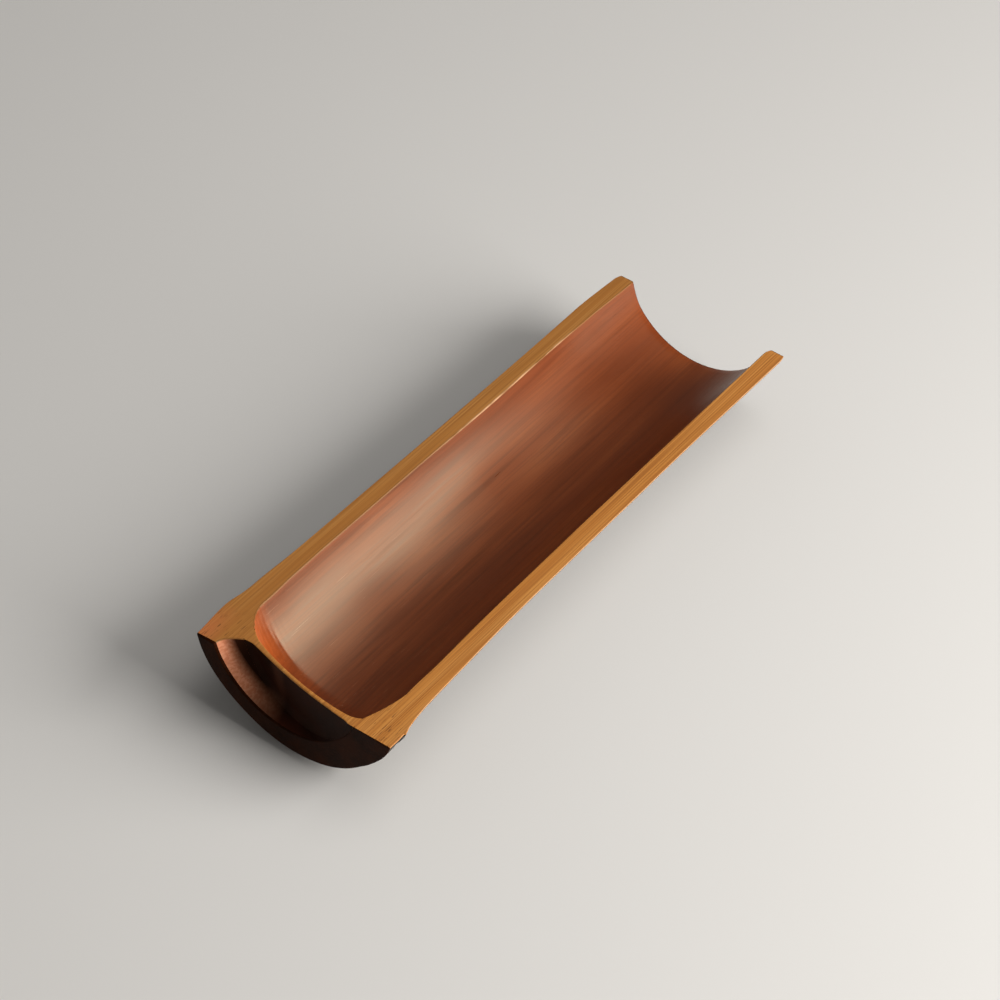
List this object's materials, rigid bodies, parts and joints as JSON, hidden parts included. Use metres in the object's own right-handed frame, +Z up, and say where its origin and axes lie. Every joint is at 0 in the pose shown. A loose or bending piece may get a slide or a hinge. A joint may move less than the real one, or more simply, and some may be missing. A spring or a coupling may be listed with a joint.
{
  "type": "bamboo tea scoop",
  "caption": "Tea scoop split from a length of bamboo: an open trough on a round back, closed at the heel by the culm's node and open at the mouth.",
  "frame": {"origin": "middle of the footprint, at the lowest point of the round back, with the split rims level", "axes": "+X along the culm from the heel to the open mouth, +Z up out of the trough, +Y to the left of the trough seen from the heel"},
  "size_m": [0.155, 0.0546, 0.0221],
  "materials": {
    "bamboo_wall": "satin, carbonised reddish brown inside, golden brown on the split rims",
    "bamboo_heel": "semi-gloss dark brown skin and end grain",
    "bamboo_membrane": "satin reddish brown"
  },
  "bodies": {
    "root": {"trough_wall": "bamboo_wall", "node_collar": "bamboo_wall", "heel_stub": "bamboo_heel", "diaphragm": "bamboo_membrane"}
  },
  "joints": []
}
